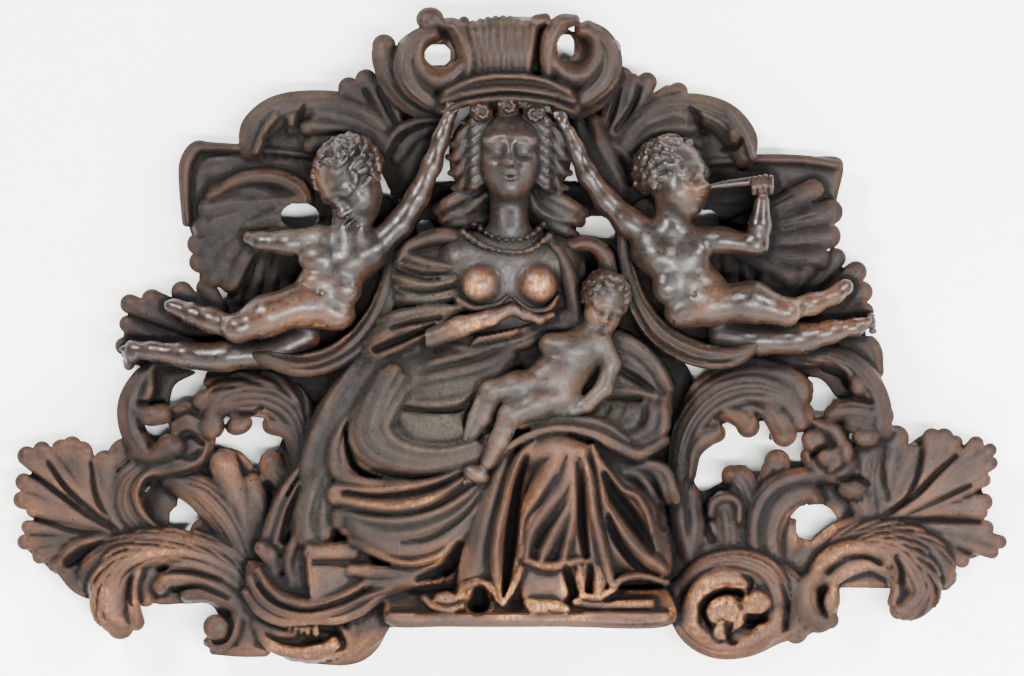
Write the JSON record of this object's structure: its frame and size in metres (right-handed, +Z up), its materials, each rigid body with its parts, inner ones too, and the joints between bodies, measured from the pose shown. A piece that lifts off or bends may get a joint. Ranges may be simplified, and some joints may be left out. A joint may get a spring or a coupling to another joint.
{
  "type": "carved wooden plaque",
  "caption": "Carved wooden wall crest in high relief: a crowned seated figure with a child, winged children on both sides, leaf scrolls, pierced openings and a shelf.",
  "frame": {"origin": "on the flat back, behind the seated figure's waist, where the carving is fixed to the wall", "axes": "+X to the viewer's right, +Y into the wall, +Z up; the carving faces -Y"},
  "size_m": [0.9807, 0.1326, 0.6455],
  "materials": {
    "old_varnished_wood": "dark worn varnish, semi-gloss"
  },
  "bodies": {
    "root": {"carved_relief": "old_varnished_wood"}
  },
  "joints": []
}
